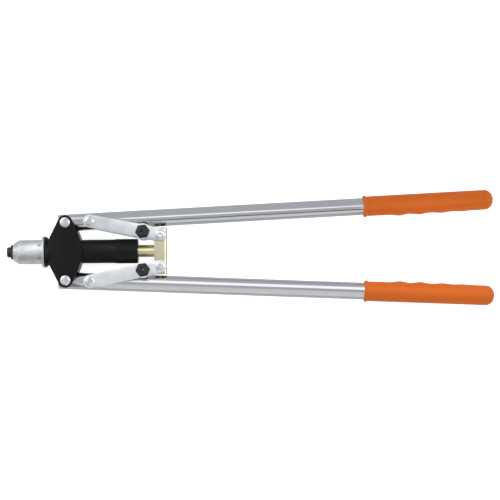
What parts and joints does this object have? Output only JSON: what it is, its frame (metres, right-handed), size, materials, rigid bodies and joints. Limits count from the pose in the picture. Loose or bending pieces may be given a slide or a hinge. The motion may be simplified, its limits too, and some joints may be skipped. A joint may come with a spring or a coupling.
{
  "type": "lever hand riveter",
  "caption": "Long two-handed lever riveter: two gripped tube handles draw a collet back through a linked crosshead.",
  "frame": {"origin": "centre of the nosepiece's mouth, on the pulling axis", "axes": "+X from the nosepiece back to the grips, +Y towards the upper handle in the picture, +Z towards the side that carries the spare nosepieces"},
  "size_m": [0.5396, 0.1284, 0.0377],
  "materials": {
    "black_powder_coat": "black powder coat on an aluminium casting, fine texture",
    "bare_aluminium": "turned and tumbled, satin",
    "black_oxide": "black oxide on machined steel",
    "bright_rivet": "bright zinc, struck heads",
    "chrome_tube": "bright chrome plate on steel tube",
    "satin_zinc": "satin zinc plate on stamped steel",
    "yellow_zinc": "yellow passivated zinc on steel",
    "tool_steel": "hardened steel, oiled",
    "pusher_brass": "turned brass",
    "spring_steel": "spring wire",
    "orange_vinyl": "soft moulded vinyl, satin"
  },
  "bodies": {
    "frame": {"body_casting": "black_powder_coat", "head_sleeve": "bare_aluminium", "nosepiece": "black_oxide", "upper_pivot_rivet": "bright_rivet", "lower_pivot_rivet": "bright_rivet"},
    "upper_handle": {"upper_tube": "chrome_tube", "upper_pivot_bush": "tool_steel", "upper_link_bush": "tool_steel", "upper_link_pin": "bright_rivet", "upper_grip": "orange_vinyl"},
    "lower_handle": {"lower_tube": "chrome_tube", "lower_pivot_bush": "tool_steel", "lower_link_bush": "tool_steel", "lower_link_pin": "bright_rivet", "lower_grip": "orange_vinyl"},
    "upper_link": {"upper_link_top_plate": "satin_zinc", "upper_link_bottom_plate": "satin_zinc", "upper_crosshead_rivet": "bright_rivet", "upper_spare_nosepiece": "black_oxide"},
    "lower_link": {"lower_link_top_plate": "satin_zinc", "lower_link_bottom_plate": "satin_zinc", "lower_crosshead_rivet": "bright_rivet", "lower_spare_nosepiece": "black_oxide"},
    "pull": {"crosshead": "yellow_zinc", "pull_rod": "yellow_zinc", "jaw_case": "tool_steel", "jaw_case_nut": "tool_steel"},
    "jaws": {"jaw_a": "tool_steel", "jaw_b": "tool_steel", "jaw_c": "tool_steel", "jaw_pusher": "pusher_brass", "jaw_spring": "spring_steel"}
  },
  "joints": [
    {"name": "upper_handle_swing", "type": "hinge", "parent": "frame", "child": "upper_handle", "pos_m": [0.0654, 0.032, 0], "axis": [0, 0, 1], "range_deg": [0, 45]},
    {"name": "lower_handle_swing", "type": "hinge", "parent": "frame", "child": "lower_handle", "pos_m": [0.0654, -0.032, 0], "axis": [0, 0, 1], "range_deg": [-45, 0]},
    {"name": "upper_link_turn", "type": "hinge", "parent": "upper_handle", "child": "upper_link", "pos_m": [0.09237, 0.03322, 0], "axis": [0, 0, 1], "range_deg": [-60, 0]},
    {"name": "lower_link_turn", "type": "hinge", "parent": "lower_handle", "child": "lower_link", "pos_m": [0.09237, -0.03322, 0], "axis": [0, 0, 1], "range_deg": [0, 60]},
    {"name": "crosshead_slide", "type": "slide", "parent": "frame", "child": "pull", "axis": [-1, 0, 0], "range_m": [0, 0.0135]},
    {"name": "jaws_slide", "type": "slide", "parent": "pull", "child": "jaws", "axis": [1, 0, 0], "range_m": [0, 0.0025], "stiffness_N_per_m": 600, "springref_m": -0.004, "deforming": ["jaw_spring"]}
  ],
  "couplings": [
    {"joint": "lower_handle_swing", "follows": "upper_handle_swing", "ratio": -1},
    {"joint": "upper_link_turn", "follows": "upper_handle_swing", "ratio": -1.323},
    {"joint": "lower_link_turn", "follows": "upper_handle_swing", "ratio": 1.323},
    {"joint": "crosshead_slide", "follows": "upper_handle_swing", "m_per_rad": 0.017131}
  ]
}
